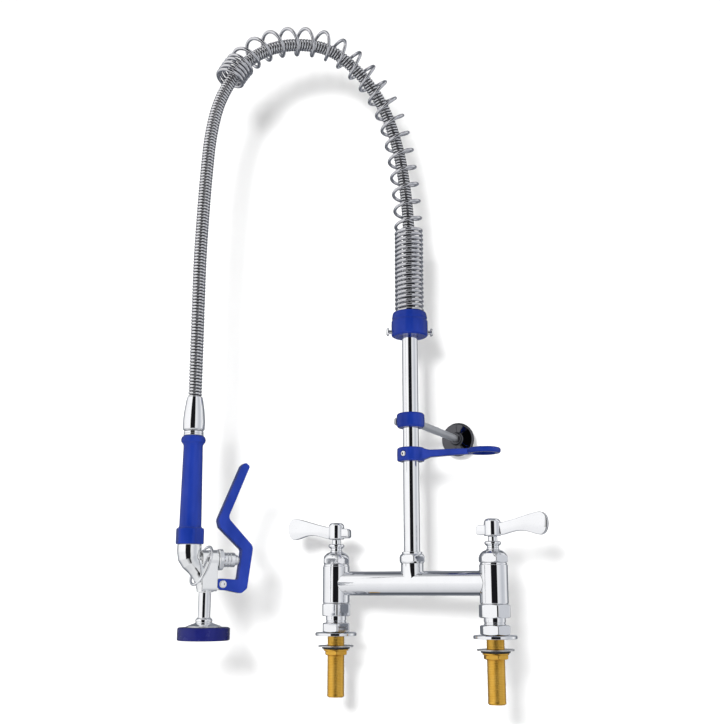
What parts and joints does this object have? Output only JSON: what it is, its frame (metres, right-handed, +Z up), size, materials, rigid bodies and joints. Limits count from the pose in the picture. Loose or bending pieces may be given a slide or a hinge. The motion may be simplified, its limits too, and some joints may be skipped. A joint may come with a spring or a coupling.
{
  "type": "pre rinse faucet",
  "caption": "Deck-mounted pre-rinse faucet: lever valves on a chrome bridge, a riser with hook and wall bracket, and a spring-arched hose with a squeeze-lever spray valve.",
  "frame": {"origin": "on top of the deck (the flanges' underside), midway between the two inlet shanks", "axes": "+X along the bridge towards the right-hand valve, +Y back to the wall, +Z up along the riser"},
  "size_m": [0.3701, 0.3947, 0.8387],
  "materials": {
    "chrome": "polished chrome plate",
    "steel": "plain stainless steel",
    "hose": "wound stainless strip",
    "brass": "plain yellow brass",
    "blue": "satin blue plastic",
    "black": "matt black rubber"
  },
  "bodies": {
    "base": {"bridge": "chrome", "riser_nut": "chrome", "riser": "chrome", "hose_inlet": "chrome", "spring_collar": "blue", "left_collar_screw": "chrome", "right_collar_screw": "chrome", "bracket_ring": "blue", "bracket_screw": "chrome", "bracket_arm": "chrome", "wall_flange": "chrome", "left_shank": "brass", "left_washer": "steel", "left_seal": "black", "left_mount_nut": "brass", "left_flange": "chrome", "left_lock_nut": "chrome", "left_tailpiece": "chrome", "left_coupling_nut": "chrome", "left_valve_body": "chrome", "left_bonnet": "chrome", "left_packing_nut": "chrome", "right_shank": "brass", "right_washer": "steel", "right_seal": "black", "right_mount_nut": "brass", "right_flange": "chrome", "right_lock_nut": "chrome", "right_tailpiece": "chrome", "right_coupling_nut": "chrome", "right_valve_body": "chrome", "right_bonnet": "chrome", "right_packing_nut": "chrome"},
    "left_handle": {"left_handle": "chrome", "left_stem": "chrome"},
    "right_handle": {"right_handle": "chrome", "right_stem": "chrome"},
    "hook": {"hook": "blue", "hook_screw": "steel"},
    "arch": {"spring": "chrome", "hose": "hose", "hose_ferrule": "chrome"},
    "spray_valve": {"swivel_nut": "chrome", "grip": "blue", "spray_body": "chrome", "plunger_guide": "chrome", "lever_pin": "steel", "outlet_tube": "chrome", "bumper": "blue", "spray_face": "chrome"},
    "lever": {"lever": "blue"},
    "plunger": {"plunger": "chrome"},
    "hold_ring": {"hold_ring": "chrome"}
  },
  "joints": [
    {"name": "left_handle_turn", "type": "hinge", "parent": "base", "child": "left_handle", "pos_m": [-0.1016, 0, 0.1165], "axis": [0, 0, 1], "range_deg": [0, 90]},
    {"name": "right_handle_turn", "type": "hinge", "parent": "base", "child": "right_handle", "pos_m": [0.1016, 0, 0.1165], "axis": [0, 0, -1], "range_deg": [0, 90]},
    {"name": "hook_turn", "type": "hinge", "parent": "base", "child": "hook", "pos_m": [0, 0, 0.2175], "axis": [0, 0, 1], "range_deg": [-120, 120]},
    {"name": "arch_swing", "type": "hinge", "parent": "base", "child": "arch", "pos_m": [0, 0, 0.39], "axis": [0, 0, 1], "range_deg": [-45, 110], "stiffness_Nm_per_rad": 2},
    {"name": "spray_swivel", "type": "hinge", "parent": "arch", "child": "spray_valve", "pos_m": [-0.18585, -0.19929, 0.2308], "axis": [0, 0, 1], "continuous": true},
    {"name": "lever_squeeze", "type": "hinge", "parent": "spray_valve", "child": "lever", "pos_m": [-0.16041, -0.17201, 0.0609], "axis": [0.7314, -0.682, 0], "range_deg": [0, 10], "stiffness_Nm_per_rad": 4, "springref_deg": -5.73},
    {"name": "plunger_slide", "type": "slide", "parent": "spray_valve", "child": "plunger", "axis": [-0.682, -0.7314, 0], "range_m": [0, 0.0048]},
    {"name": "hold_ring_swing", "type": "hinge", "parent": "spray_valve", "child": "hold_ring", "pos_m": [-0.17084, -0.1832, 0.1016], "axis": [-0.7314, 0.682, 0], "range_deg": [0, 50]}
  ],
  "couplings": [
    {"joint": "plunger_slide", "follows": "lever_squeeze", "m_per_rad": 0.0267}
  ]
}
